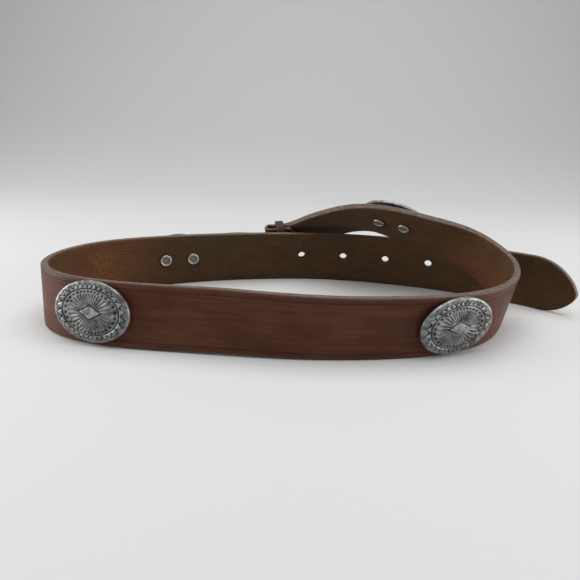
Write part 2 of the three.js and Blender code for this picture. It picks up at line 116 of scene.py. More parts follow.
def wayValues(u):
    rows = np.array(beltWay, float) * [belt["loopWidth"], belt["loopDepth"], belt["width"], math.pi / 180]
    rows = np.vstack([2 * rows[:1] - rows[1:2], rows, 2 * rows[-1:] - rows[-2:-1]])
    index = np.clip(np.floor(u).astype(int), 0, len(beltWay) - 2)
    t = (u - index)[:, None]
    weights = ((1 - t) ** 3, 3 * t ** 3 - 6 * t ** 2 + 4, -3 * t ** 3 + 3 * t ** 2 + 3 * t + 1, t ** 3)
    return sum(weight * rows[index + k] for k, weight in enumerate(weights)) / 6


def middleAt(u):
    x, y, rise, lean = wayValues(u).T
    half = belt["width"] / 2 * np.cos(lean) + belt["thickness"] / 2 * np.abs(np.sin(lean))
    return np.stack([x, y, rise + half], -1)


def unit(rows):
    return rows / np.linalg.norm(rows, axis=-1, keepdims=True)


waySteps = np.linspace(0, len(beltWay) - 1, 40 * (len(beltWay) - 1) + 1)
wayMiddle = middleAt(waySteps)
wayLengths = np.concatenate([[0], np.cumsum(np.linalg.norm(np.diff(wayMiddle, axis=0), axis=1))])
belt["barAt"] = belt["barShare"] * wayLengths[-1]


def framesAt(lengths):  # section frames along the strap
    u = np.interp(np.atleast_1d(np.asarray(lengths, float)), wayLengths, waySteps)
    along = unit(middleAt(u + 1e-3) - middleAt(u - 1e-3))
    outward = np.cross(unit(along * [1, 1, 0]), [0, 0, 1])
    lean = wayValues(u)[:, 3:4]
    rough = np.array([0, 0, 1]) * np.cos(lean) + outward * np.sin(lean)
    across = unit(rough - along * (rough * along).sum(1, keepdims=True))
    return {"origin": middleAt(u), "along": along, "across": across, "out": np.cross(along, across)}


def rowOf(frames, k=0):
    return {key: rows[k] for key, rows in frames.items()}


def pointsIn(frames, along, across, out):
    along, across, out = (np.asarray(v, float)[..., None] for v in (along, across, out))
    return frames["origin"] + frames["along"] * along + frames["across"] * across + frames["out"] * out


def smoothStep(t):
    t = np.clip(t, 0, 1)
    return t * t * (3 - 2 * t)


def taperReach(s, length):
    left = 1 - np.clip((s - belt["tipStart"] + belt["tipBlunt"]) / length, 0, 1)
    return (1 - left * left) ** belt["tipRoundness"]


def sectionAt(s):  # low edge, high edge and thickness
    s = np.asarray(s, float)
    tipLine = (belt["tipHeightShare"] - 0.5) * belt["width"]
    narrowing = smoothStep((s - belt["barAt"] + belt["narrowLength"]) / belt["narrowLength"])
    narrow = 1 - (1 - belt["foldWidthShare"]) * narrowing
    low = tipLine - belt["tipHeightShare"] * belt["width"] * taperReach(s, belt["tipLowerTaper"])
    high = tipLine + (1 - belt["tipHeightShare"]) * belt["width"] * taperReach(s, belt["tipUpperTaper"])
    skive = np.clip((s - belt["barAt"] + belt["skiveLength"]) / belt["skiveLength"], 0, 1)
    return low * narrow, high * narrow, belt["thickness"] + (belt["foldThickness"] - belt["thickness"]) * skive


outerFace = belt["thickness"] / 2
innerFoldRadius = belt["barDiameter"] / 2 + belt["fitGap"]
foldRadius = innerFoldRadius + belt["foldThickness"]
barFrame = rowOf(framesAt(belt["barAt"]))
barFrame["origin"] = pointsIn(barFrame, 0, 0, outerFace - foldRadius)


def flapDepth(before):
    main = sectionAt(belt["barAt"] - before)[2]
    far = main + belt["fitGap"] + belt["foldThickness"]
    rise = smoothStep(before / (belt["flapRiseShare"] * belt["flapLength"]))
    return 2 * foldRadius + (far - 2 * foldRadius) * rise


# The CAD strap's stations before its twisted end, which set its box
plainStations = {"endShare": 0.8, "step": 9, "chamfer": 0.9}


def cadShift():  # the CAD part stands in its own box's middle
    tipEnd, twistedFrom = belt["tipStart"] + belt["tipUpperTaper"], plainStations["endShare"] * belt["barAt"]
    count = round((twistedFrom - tipEnd) / plainStations["step"])
    lengths = tipEnd + (twistedFrom - tipEnd) * np.arange(count) / count
    frames = framesAt(lengths)
    half = belt["width"] / 2
    chamfer = plainStations["chamfer"]
    corners = [(a * (half - chamfer), b * outerFace) for a in (-1, 1) for b in (-1, 1)]
    corners += [(a * half, b * (outerFace - chamfer)) for a in (-1, 1) for b in (-1, 1)]
    corners += [(0, outerFace), (0, -outerFace)]
    cloud = np.concatenate([pointsIn(frames, 0 * lengths, 0 * lengths + a, 0 * lengths + b) for a, b in corners])
    return np.array(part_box("strap")[0]) * 1000 - cloud.min(0)


beltShift = cadShift()
print("belt shift", np.round(beltShift, 2).tolist())


def toMetres(points):
    return (np.asarray(points).reshape(-1, 3) + beltShift) * 0.001


def meshObject(name, points, faces):
    mesh = bpy.data.meshes.new(name)
    mesh.from_pydata(toMetres(points).tolist(), [], [list(face) for face in faces])
    mesh.update()
    mesh.shade_smooth()
    piece = bpy.data.objects.new(name, mesh)
    bpy.context.scene.collection.objects.link(piece)
    return piece


def gridFaces(rows, count, closedRows=False):
    r = np.arange(rows if closedRows else rows - 1)[:, None]
    c = np.arange(count)[None, :]
    a = r * count + c
    b = r * count + (c + 1) % count
    up = ((r + 1) % rows) * count
    return np.stack([a, b, up + (c + 1) % count, up + c], -1).reshape(-1, 4).tolist()


def loftObject(name, rings):
    rows, count = rings.shape[:2]
    faces = gridFaces(rows, count)
    faces.append(list(range(count))[::-1])
    faces.append([(rows - 1) * count + k for k in range(count)])
    return meshObject(name, rings, faces)


def poleObject(name, first, rings, final):
    rows, count = rings.shape[:2]
    points = np.concatenate([rings.reshape(-1, 3), [first], [final]])
    faces = gridFaces(rows, count)
    last = (rows - 1) * count
    for k in range(count):
        nextOne = (k + 1) % count
        faces.append([rows * count, nextOne, k])
        faces.append([rows * count + 1, last + k, last + nextOne])
    return meshObject(name, points, faces)


outlineCorners = ((1, -1, -0.5), (1, 1, 0.0), (-1, 1, 0.5), (-1, -1, 1.0))  # sides, and the turn's start


def roundedOutline(halfWide, halfThick, corner, count):
    rows = []
    for a, b, start in outlineCorners:
        for t in np.linspace(0, 1, count):
            turn = math.pi * (start + t / 2)
            rows.append((a * (halfWide - corner) + corner * math.cos(turn),
                         b * (halfThick - corner) + corner * math.sin(turn)))
    return np.array(rows)


def addAttribute(piece, name, values):
    values = np.asarray(values, np.float32)
    kind = "FLOAT_VECTOR" if values.ndim == 2 else "FLOAT"
    layer = piece.data.attributes.new(name, kind, "POINT")
    layer.data.foreach_set("vector" if values.ndim == 2 else "value", values.ravel())


def keepSharp(piece, degrees):
    piece.data.set_sharp_from_angle(angle=math.radians(degrees))


class Wire:  # a node's output, for use in expressions
    def __init__(self, finish, socket):
        self.finish = finish
        self.socket = socket

    def __add__(self, other):
        return self.finish.maths("ADD", self, other)

    def __radd__(self, other):
        return self.finish.maths("ADD", other, self)

    def __sub__(self, other):
        return self.finish.maths("SUBTRACT", self, other)

    def __rsub__(self, other):
        return self.finish.maths("SUBTRACT", other, self)

    def __mul__(self, other):
        return self.finish.maths("MULTIPLY", self, other)

    def __rmul__(self, other):
        return self.finish.maths("MULTIPLY", other, self)

    def __abs__(self):
        return self.finish.maths("ABSOLUTE", self)

    def ramped(self, low, high):  # smooth 0 to 1 between two values
        sockets = {"Value": self, "From Min": low, "From Max": high}
        return self.finish.node("ShaderNodeMapRange", {"interpolation_type": "SMOOTHSTEP"}, sockets)

    def limited(self):
        return self.finish.maths("MINIMUM", self.finish.maths("MAXIMUM", self, 0.0), 1.0)


class Finish:  # a material built from nodes
    def __init__(self, name):
        self.material = bpy.data.materials.new(name)
        self.material.use_nodes = True
        self.tree = self.material.node_tree
        self.tree.nodes.clear()

    def node(self, kind, settings=None, sockets=None, output=0):
        node = self.tree.nodes.new(kind)
        for key, value in (settings or {}).items():
            if key == "stops":
                ramp = node.color_ramp
                for k, (position, colour) in enumerate(value):
                    stop = ramp.elements[k] if k < 2 else ramp.elements.new(position)
                    stop.position = position
                    stop.color = (*colour, 1)
            else:
                setattr(node, key, value)
        for key, value in (sockets or {}).items():
            socket = node.inputs[key]
            if isinstance(value, Wire):
                self.tree.links.new(value.socket, socket)
            elif isinstance(value, tuple) and socket.type == "RGBA":
                socket.default_value = (*value, 1)
            else:
                socket.default_value = value
        return Wire(self, node.outputs[output]) if len(node.outputs) else node

    def maths(self, operation, *values):
        return self.node("ShaderNodeMath", {"operation": operation}, dict(enumerate(values)))

    def tint(self, factor, first, second):
        settings = {"data_type": "RGBA", "blend_type": "MIX"}
        return self.node("ShaderNodeMix", settings, {0: factor, 6: first, 7: second}, 2)

    def spot(self, name):
        return self.node("ShaderNodeAttribute", {"attribute_name": name}, output="Vector")

    def axes(self, vector):
        node = self.tree.nodes.new("ShaderNodeSeparateXYZ")
        self.tree.links.new(vector.socket, node.inputs[0])
        return [Wire(self, out) for out in node.outputs]

    def stretched(self, vector, scale):
        sockets = {0: vector, 1: scale}
        return self.node("ShaderNodeVectorMath", {"operation": "MULTIPLY"}, sockets)

    def noise(self, vector, scale, detail=3.0, roughness=0.5):
        sockets = {"Vector": vector, "Scale": scale, "Detail": detail, "Roughness": roughness}
        return self.node("ShaderNodeTexNoise", None, sockets)

    def bump(self, height):
        sockets = {"Height": height, "Distance": 0.001, "Strength": 1.0}
        return self.node("ShaderNodeBump", None, sockets)

    def surface(self, sockets):
        shader = self.node("ShaderNodeBsdfPrincipled", None, sockets)
        self.node("ShaderNodeOutputMaterial", None, {"Surface": shader})
        return self.material


strapLook = {
    "grainDark": (0.062, 0.0205, 0.0100),
    "grainLight": (0.099, 0.034, 0.0165),
    "fleshDark": (0.052, 0.027, 0.0130),
    "fleshLight": (0.090, 0.046, 0.0215),
    "fleshOlive": (0.056, 0.038, 0.0175),
    "fleshWarm": (0.175, 0.070, 0.0230),
    "fleshRed": (0.150, 0.046, 0.0210),
    "edgeDark": (0.095, 0.066, 0.054),
    "edgeLight": (0.165, 0.125, 0.105),
    "crease": (0.02, 0.01, 0.007),
    "creaseInset": 3.7,
    "creaseWidth": 0.55,
    "leftBendAt": 404.0,
    "rightBendAt": 784.0,
}


def strapLeather(name="strapLeather", look=strapLook):
    leather = Finish(name)
    place = leather.spot("leatherPlace")  # along, across, depth in mm
    along, across, _ = leather.axes(place)
    fromEdge, fromGrain, fromFlesh = leather.axes(leather.spot("leatherEdge"))
    grain = 1 - fromGrain.ramped(0.2, 0.8)
    flesh = 1 - fromFlesh.ramped(0.2, 0.8)
    edge = (1 - grain - flesh).limited()
    broad = leather.noise(place, 0.03, 2.0)
    cloudy = leather.noise(leather.stretched(place, (0.5, 1.0, 1.0)), 0.14, 5.0, 0.6)
    streaks = leather.noise(leather.stretched(place, (0.06, 1.0, 1.0)), 0.4, 4.0, 0.6)
    fine = leather.noise(place, 1.3, 5.0, 0.65)
    fibre = leather.noise(leather.stretched(place, (0.4, 1.2, 1.0)), 0.9, 5.0, 0.65)
    pebbles = {"Vector": place, "Scale": 1.15}
    pebble = leather.node("ShaderNodeTexVoronoi", {"feature": "F1"}, pebbles, "Distance")
    crease = 1 - abs(fromEdge - look["creaseInset"]).ramped(0.1, look["creaseWidth"])
    grainShade = (0.3 * broad + 0.25 * cloudy + 0.45 * streaks).ramped(0.38, 0.62)
    grainColour = leather.tint(grainShade, look["grainDark"], look["grainLight"])
    grainColour = leather.tint(0.5 * crease, grainColour, look["crease"])
    grainColour = leather.tint(0.3 * (1 - fromEdge.ramped(0.6, 2.2)), grainColour, look["edgeDark"])
    leftWarm = 1 - abs(along - look["leftBendAt"]).ramped(30.0, 95.0)
    rightWarm = 1 - abs(along - look["rightBendAt"]).ramped(15.0, 80.0)
    fleshShade = (0.4 * cloudy + 0.6 * fibre).ramped(0.34, 0.68)
    fleshColour = leather.tint(fleshShade, look["fleshDark"], look["fleshLight"])
    olive = 0.75 * broad.ramped(0.44, 0.58) * across.ramped(-8.0, 12.0)
    fleshColour = leather.tint(olive, fleshColour, look["fleshOlive"])
    warmShade = (0.7 * broad + 0.3 * cloudy).ramped(0.40, 0.58)
    warmColour = leather.tint(warmShade, look["fleshWarm"], look["fleshRed"])
    warmShare = (leftWarm + 0.55 * rightWarm) * (1 - 0.7 * olive) * (0.35 + 0.65 * fibre.ramped(0.38, 0.66))
    fleshColour = leather.tint(warmShare.limited(), fleshColour, warmColour)
    edgeColour = leather.tint(fibre.ramped(0.35, 0.65), look["edgeDark"], look["edgeLight"])
    colour = leather.tint(flesh, leather.tint(edge, grainColour, edgeColour), fleshColour)
    roughness = 0.47 * grain + 0.84 * flesh + 0.58 * edge + 0.12 * (fine - 0.5)
    grainHeight = grain * (0.05 * pebble - 0.22 * crease + 0.03 * fine)
    height = grainHeight + flesh * (0.14 * fine + 0.12 * fibre) + edge * 0.1 * fibre
    sockets = {"Base Color": colour, "Roughness": roughness,
               "Normal": leather.bump(height), "Specular IOR Level": 0.14}
    return leather.surface(sockets)


conchoLook = {
    "raised": (0.365, 0.365, 0.372),
    "worn": (0.17, 0.175, 0.16),
    "recess": (0.012, 0.012, 0.011),
    "roughness": 0.41,
}


def conchoMetal(name="conchoMetal", look=conchoLook):
    metal = Finish(name)
    place = metal.node("ShaderNodeTexCoord", output="Object")
    recess = metal.node("ShaderNodeAttribute", {"attribute_name": "recess"}, output="Fac")
    stain = metal.noise(place, 260.0, 4.0)
    fine = metal.noise(place, 2400.0, 3.0)
    colour = metal.tint(stain.ramped(0.38, 0.66), look["raised"], look["worn"])
    depth = recess + 0.35 * (stain - 0.5) * recess.ramped(0.0, 0.2)
    colour = metal.tint(depth.limited(), colour, look["recess"])
    roughness = look["roughness"] + 0.3 * recess + 0.12 * (fine - 0.5)
    sockets = {"Base Color": colour, "Metallic": 1 - 0.55 * recess, "Roughness": roughness,
               "Normal": metal.bump(0.02 * fine + 0.03 * stain)}
    return metal.surface(sockets)


rivetLook = {"ring": (0.55, 0.52, 0.48), "dull": (0.20, 0.18, 0.16), "roughness": 0.28}


def rivetMetal(name="rivetMetal", look=rivetLook):
    metal = Finish(name)
    place = metal.node("ShaderNodeTexCoord", output="Object")
    recess = metal.node("ShaderNodeAttribute", {"attribute_name": "recess"}, output="Fac")
    stain = metal.noise(place, 420.0, 4.0)
    colour = metal.tint((recess + 0.5 * stain.ramped(0.5, 0.8)).limited(), look["ring"], look["dull"])
    sockets = {"Base Color": colour, "Metallic": 1.0, "Roughness": look["roughness"] + 0.3 * recess + 0.15 * stain,
               "Normal": metal.bump(0.02 * stain)}
    return metal.surface(sockets)


def asPiece(piece, material, slot, *nodes):
    piece.data.materials.append(material)
    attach(piece, "root")
    if nodes:
        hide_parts(*nodes)
    return piece


# Strap
strapPiece = {
    "corner": 1.25, "cornerShare": 0.42, "cornerPoints": 5, "facePoints": 13, "edgePoints": 2,
    "tipRings": 60, "bodyRings": 920, "foldSteps": 24, "flapRings": 26,
}


def strapOutline():  # rows of side across, side out, corner across, corner out
    piece = strapPiece
    rows = []
    turns = np.linspace(0, 1, piece["cornerPoints"])
    face = np.linspace(-1, 1, piece["facePoints"] + 2)[1:-1]
    edge = np.linspace(-1, 1, piece["edgePoints"] + 2)[1:-1]
    sides = [[(1, t, 1, 0) for t in edge], [(-t, 1, 0, 1) for t in face],
             [(-1, -t, -1, 0) for t in edge], [(t, -1, 0, -1) for t in face]]
    for (a, b, start), side in zip(outlineCorners, sides):
        rows += [(a, b, math.cos(turn), math.sin(turn)) for turn in math.pi * (start + turns / 2)]
        rows += side
    return np.array(rows)


def strapRing(frames, low, high, outer, thickness):
    low, high, outer, thickness = (np.asarray(v, float).reshape(-1, 1) for v in (low, high, outer, thickness))
    a, b, ca, cb = strapOutline().T[:, None, :]
    corner = np.minimum(strapPiece["corner"], strapPiece["cornerShare"] * np.minimum(thickness, high - low))
    across = (low + high) / 2 + a * ((high - low) / 2 - corner) + ca * corner
    out = outer - thickness / 2 + b * (thickness / 2 - corner) + cb * corner
    wide = {key: rows.reshape(-1, 1, 3) for key, rows in frames.items()}
    return pointsIn(wide, 0 * across, across, out)


def strapStations():  # frames and section of every ring, tail tip to flap end
    tipShares = np.linspace(0, 1, strapPiece["tipRings"])[:-1] ** 2
    tipEnd = belt["tipStart"] + belt["tipUpperTaper"]
    lengths = np.concatenate([
        belt["tipStart"] + belt["tipUpperTaper"] * tipShares,
        np.linspace(tipEnd, belt["barAt"], strapPiece["bodyRings"])])
    frames = framesAt(lengths)
    low, high, thickness = sectionAt(lengths)
    stations = {**frames, "low": low, "high": high, "thickness": thickness,
                "outer": 0 * low + outerFace, "length": lengths}
    turns = math.pi * np.arange(1, strapPiece["foldSteps"]) / strapPiece["foldSteps"]
    ones = np.ones_like(turns)
    cos, sin = np.cos(turns)[:, None], np.sin(turns)[:, None]
    fold = {
        "origin": np.outer(ones, barFrame["origin"]),
        "along": barFrame["along"] * cos - barFrame["out"] * sin,
        "across": np.outer(ones, barFrame["across"]),
        "out": barFrame["out"] * cos + barFrame["along"] * sin,
        "low": ones * low[-1], "high": ones * high[-1], "thickness": ones * belt["foldThickness"],
        "outer": ones * foldRadius, "length": belt["barAt"] + foldRadius * turns,
    }
    before = np.linspace(0, belt["flapLength"], strapPiece["flapRings"])
    back = framesAt(belt["barAt"] - before)
    low, high, _ = sectionAt(belt["barAt"] - before)
    flap = {
        "origin": back["origin"], "along": -back["along"], "across": back["across"], "out": -back["out"],
        "low": low, "high": high, "thickness": 0 * low + belt["foldThickness"],
        "outer": flapDepth(before) - outerFace, "length": belt["barAt"] + foldRadius * math.pi + before,
    }
    return {key: np.concatenate([stations[key], fold[key], flap[key]]) for key in stations}


def cylinderRings(station, across, radii, outs, sides):
    turns = 2 * math.pi * np.arange(sides) / sides
    radii, outs = np.asarray(radii, float)[:, None], np.asarray(outs, float)[:, None]
    return pointsIn(station, radii * np.cos(turns), across + radii * np.sin(turns), outs + 0 * turns)


def rivetPlaces(row):
    _, place, spacing, turn = row
    reach = np.array([-0.5, 0.5]) * spacing * belt["conchoLength"]
    turn = math.radians(turn)
    along = place * belt["barAt"] + reach * math.cos(turn)
    return list(zip(along, belt["conchoLift"] + reach * math.sin(turn)))


def punchHoles(strap):
    cutters = []
    reach = belt["thickness"]
    holes = belt["holes"]
    for k in range(holes["count"]):
        station = rowOf(framesAt(holes["first"] + k * holes["pitch"]))
        radius = holes["diameter"] / 2
        cutters.append(cylinderRings(station, holes["lift"], [radius, radius], [-reach, reach], holes["sides"]))
    bore = belt["rivetShank"] / 2 + belt["fitGap"]
    for row in belt["conchos"]:
        for at, across in rivetPlaces(row):
            station = rowOf(framesAt(at))
            cutters.append(cylinderRings(station, across, [bore, bore], [-reach, reach], belt["boreSides"]))
    station = rowOf(framesAt(belt["barAt"] - belt["foldRivetFromBar"]))
    for across in (belt["foldRivetSpread"], -belt["foldRivetSpread"]):
        cutters.append(cylinderRings(station, across, [bore, bore], [-2 * reach, 2 * reach], belt["boreSides"]))
    half = belt["lugSlotWidth"] / 2
    edge = foldRadius + 1
    square = [(-1, -1), (-1, edge), (edge, edge), (edge, -1)]
    slot = [[pointsIn(barFrame, a, across, b) for a, b in square] for across in (-half, half)]
    cutters.append(np.array(slot))
    for k, rings in enumerate(cutters):
        cutter = loftObject("holeCutter%d" % k, rings)
        cut = strap.modifiers.new("hole%d" % k, "BOOLEAN")
        cut.operation, cut.solver, cut.object = "DIFFERENCE", "MANIFOLD", cutter
    applyModifiers(strap)
    for k in range(len(cutters)):
        bpy.data.objects.remove(bpy.data.objects["holeCutter%d" % k])


def applyModifiers(piece):
    graph = bpy.context.evaluated_depsgraph_get()
    mesh = bpy.data.meshes.new_from_object(piece.evaluated_get(graph))
    piece.modifiers.clear()
    piece.data = mesh
    mesh.materials.clear()


def markLeather(piece, stations, rings):  # where each point lies in the leather
    count = rings.shape[1]
    tree = KDTree(rings.shape[0] * count)
    for k, point in enumerate(toMetres(rings)):
        tree.insert(point, k)
    tree.balance()
    points = np.array([v.co for v in piece.data.vertices]) * 1000 - beltShift
    ring = np.array([tree.find(v.co)[1] for v in piece.data.vertices]) // count
    offset = points - stations["origin"][ring]
    along = (offset * stations["along"][ring]).sum(1) + stations["length"][ring]
    across = (offset * stations["across"][ring]).sum(1)
    out = (offset * stations["out"][ring]).sum(1)
    fromGrain = stations["outer"][ring] - out
    fromEdge = np.minimum(across - stations["low"][ring], stations["high"][ring] - across)
    addAttribute(piece, "leatherPlace", np.stack([along, across, fromGrain], -1))
    fromFlesh = stations["thickness"][ring] - fromGrain
    addAttribute(piece, "leatherEdge", np.stack([fromEdge, fromGrain, fromFlesh], -1))


def makeStrap():
    stations = strapStations()
    frames = {key: stations[key] for key in ("origin", "along", "across", "out")}
    rings = strapRing(frames, stations["low"], stations["high"], stations["outer"], stations["thickness"])
    strap = loftObject("beltStrap", rings)
    punchHoles(strap)
    markLeather(strap, stations, rings)
    strap.data.shade_smooth()
    keepSharp(strap, 50)
    return asPiece(strap, strapLeather(), "strap_leather", "strap")


strap = makeStrap()
print("strap made", len(strap.data.polygons))

# Conchos: relief as shares of the oval, heights in mm above the flat back
conchoPiece = {
    "turns": 432, "rows": 112,
    "crown": 4.15, "slope": 0.65, "dome": 1.1, "shoulder": 0.93, "shoulderDrop": 1.0,
    "diamond": (6.2, 3.7), "diamondHeight": 4.6, "diamondLineWidth": 0.55, "diamondLineDepth": 0.5,
    "crowding": 0.92, "fieldShade": 0.42,
    "rays": 32, "rayInner": 0.20, "rayOuter": 0.58, "rayDepth": 0.40,
    "punches": 32, "punchAt": 0.66, "punchHalf": 0.62, "punchDepth": 0.45,
    "ovalLineAt": 0.75, "ovalLineWidth": 0.62, "ovalLineDepth": 0.42,
    "teeth": 30, "toothFoot": 0.785, "toothTip": 0.925, "toothMiddle": 0.84,
    "toothRise": 0.30, "toothLineWidth": 0.46, "toothLineDepth": 0.30,
    "pitAt": 0.81, "pitRadius": 0.25, "pitDepth": 0.35,
    "sideHeights": (0.0, 0.2, 0.6, 1.0), "sideShrinks": (0.975, 0.993, 1.0, 1.0),
    "footRecess": 0.7, "sideRecess": 0.15,
}


def seatOver(at, across, halfLength, halfWidth, side):
    station = rowOf(framesAt(at))
    share = np.linspace(-1, 1, 13)
    local = framesAt(at + halfLength * share)
    highest = outerFace
    for reach in (-1, 0, 1):
        offsets = across + reach * halfWidth * np.sqrt(1 - share ** 2)
        cloud = pointsIn(local, 0 * share, offsets, 0 * share + side * outerFace)
        highest = max(highest, (side * ((cloud - station["origin"]) @ station["out"])).max())
    return highest + belt["fitGap"]


def conchoStation(row):
    _, place, _, turn = row
    station = rowOf(framesAt(place * belt["barAt"]))
    cos, sin = math.cos(math.radians(turn)), math.sin(math.radians(turn))
    return {
        "origin": pointsIn(station, 0, belt["conchoLift"], 0),
        "along": station["along"] * cos + station["across"] * sin,
        "across": station["across"] * cos - station["along"] * sin,
        "out": station["out"],
    }


def conchoSeat(row):
    halfLong, halfWide = belt["conchoLength"] / 2, belt["conchoWidth"] / 2
    return seatOver(row[1] * belt["barAt"], belt["conchoLift"], halfLong, halfWide, 1)


def conchoRelief(x, y, r):  # height and how deep the spot lies
    piece = conchoPiece
    over = np.clip((r - piece["shoulder"]) / (1 - piece["shoulder"]), 0, 1)
    height = piece["crown"] - piece["slope"] * r - piece["dome"] * r ** 2
    height = height - piece["shoulderDrop"] * (1 - np.sqrt(1 - over ** 2))
    recess = piece["fieldShade"] * (1 - 0.6 * over)
    phase = np.arctan2(piece["crowding"] * y, x) / (2 * math.pi)
    halfSize = (belt["conchoLength"] + belt["conchoWidth"]) / 4
    perimeter = 2 * math.pi * halfSize

    def groove(distance, width, depth):
        nonlocal height, recess
        shape = smoothStep(1 - np.abs(distance) / width)
        height = height - depth * shape
        recess = np.maximum(recess, shape)

    rayWave = np.abs((phase * piece["rays"]) % 1 - 0.5) * 2  # 1 at the line between two rays
    rayEnd = smoothStep((r - piece["rayOuter"] + 0.05 * (1 - rayWave)) / 0.04)
    rayPart = smoothStep((r - piece["rayInner"]) / 0.08) * (1 - rayEnd)
    raySize = np.clip((rayWave - 0.35) / 0.65, 0, 1) * rayPart
    height = height - piece["rayDepth"] * raySize
    recess = np.maximum(recess, 0.72 * np.clip((raySize - 0.2) / 0.7, 0, 1))

    arc = ((phase * piece["punches"]) % 1 - 0.5) / piece["punches"] * perimeter * piece["punchAt"]
    radial = (r - piece["punchAt"]) * halfSize
    fromPunch = np.maximum(np.abs(arc), np.abs(radial)) / piece["punchHalf"]
    punch = 1 - smoothStep((fromPunch - 0.8) / 0.45)
    height = height - piece["punchDepth"] * punch
    recess = np.maximum(recess, punch)

    groove((r - piece["ovalLineAt"]) * halfSize, piece["ovalLineWidth"], piece["ovalLineDepth"])

    tooth = np.abs((phase * piece["teeth"]) % 1 - 0.5) * 2  # 0 at a tooth's tip line, 1 between teeth
    toothLength = piece["toothTip"] - piece["toothFoot"]
    border = piece["toothFoot"] + toothLength * (1 - tooth)
    slope = 2 * piece["teeth"] * toothLength / (2 * math.pi * piece["toothMiddle"])
    distance = (r - border) * halfSize / math.sqrt(1 + slope ** 2)
    bandEnd = smoothStep((r - piece["toothTip"] - 0.005) / 0.02)
    inBand = smoothStep((r - piece["toothFoot"] + 0.012) / 0.012) * (1 - bandEnd)
    inside = smoothStep(-distance / 0.4) * inBand
    height = height + piece["toothRise"] * inside
    recess = recess * (1 - 0.7 * inside)
    line = np.clip(1 - np.abs(distance) / piece["toothLineWidth"], 0, 1) * inBand
    height = height - piece["toothLineDepth"] * line
    recess = np.maximum(recess, 0.8 * smoothStep(line * 1.4))
    pitArc = ((phase * piece["teeth"] + 0.5) % 1 - 0.5) / piece["teeth"] * perimeter * piece["pitAt"]
    fromPit = np.hypot(pitArc, (r - piece["pitAt"]) * halfSize)
    pit = 1 - smoothStep((fromPit - piece["pitRadius"]) / 0.5)
    height = height - piece["pitDepth"] * pit
    recess = np.maximum(recess, pit)

    halfLong, halfShort = piece["diamond"]
    inDiamond = np.abs(x) / halfLong + np.abs(y) / halfShort
    lozenge = (inDiamond - 1) * halfLong * halfShort / math.hypot(halfLong, halfShort)
    flat = 1 - smoothStep((lozenge + 0.08) / 0.16)
    groove(lozenge - 0.5, piece["diamondLineWidth"], piece["diamondLineDepth"])
    height = height * (1 - flat) + piece["diamondHeight"] * flat
    recess = recess * (1 - flat)
    return height, recess


def makeConcho(row, metal):
    piece = conchoPiece
    name = row[0]
    station = conchoStation(row)
    seat = conchoSeat(row)
    halfLong, halfWide = belt["conchoLength"] / 2, belt["conchoWidth"] / 2
    turn = 2 * math.pi * np.arange(piece["turns"]) / piece["turns"]
    r = (np.arange(piece["rows"]) + 1.0) / piece["rows"]
    r, turn = np.meshgrid(r[::-1], turn, indexing="ij")
    x, y = halfLong * r * np.cos(turn), halfWide * r * np.sin(turn)
    height, recess = conchoRelief(x, y, r)
    sideHeights = np.array(piece["sideHeights"])[:, None]
    sideShrink = np.array(piece["sideShrinks"])[:, None]
    sideX = halfLong * np.cos(turn[:1]) * sideShrink
    sideY = halfWide * np.sin(turn[:1]) * sideShrink
    x, y = np.concatenate([sideX, x]), np.concatenate([sideY, y])
    height = np.concatenate([sideHeights + 0 * sideX, height])
    recess = np.concatenate([piece["footRecess"] + 0 * sideX, recess])
    recess[2:4] = piece["sideRecess"]
    rings = pointsIn(station, x, y, seat + height)
    foot, top = pointsIn(station, 0, 0, seat), pointsIn(station, 0, 0, seat + piece["diamondHeight"])
    concho = poleObject(name.replace("_", "Face"), foot, rings, top)
    addAttribute(concho, "recess", np.concatenate([recess.ravel(), [piece["footRecess"], 0.0]]))
    keepSharp(concho, 60)
    return asPiece(concho, metal, "concho_metal", name)


conchoFinish = conchoMetal()
for row in belt["conchos"]:
    makeConcho(row, conchoFinish)
print("conchos made")

# Rivets
rivetPiece = {
    "head": 8.5, "height": 1.0, "sides": 56, "foldHead": 6.5,
    "dish": [  # shares of the head's radius and height, and the recess
        (0.30, 0.60, 0.9), (0.58, 0.58, 1), (0.66, 0.50, 1), (0.72, 0.22, 0.5), (0.77, 0.04, 0),
        (0.82, 0, 0), (0.88, 0.03, 0), (0.94, 0.14, 0), (0.98, 0.32, 0.1), (1, 0.6, 0.6)],
    "foldDome": [(1, 0.4), (0.95, 0.66), (0.84, 0.86), (0.6, 0.97), (0.3, 1)],
}


def makeRivet(name, at, across, profile, node, metal):
    radii, outs, recess = np.array(profile, float).T
    station = rowOf(framesAt(at))
    rings = cylinderRings(station, across, radii, outs, rivetPiece["sides"])
    first, final = pointsIn(station, 0, across, outs[0]), pointsIn(station, 0, across, outs[-1])
    rivet = poleObject(name, first, rings, final)
    values = np.repeat(recess, rivetPiece["sides"])
    addAttribute(rivet, "recess", np.concatenate([values, [recess[0], recess[-1]]]))
    keepSharp(rivet, 40)
    return asPiece(rivet, metal, "rivet_metal", node)


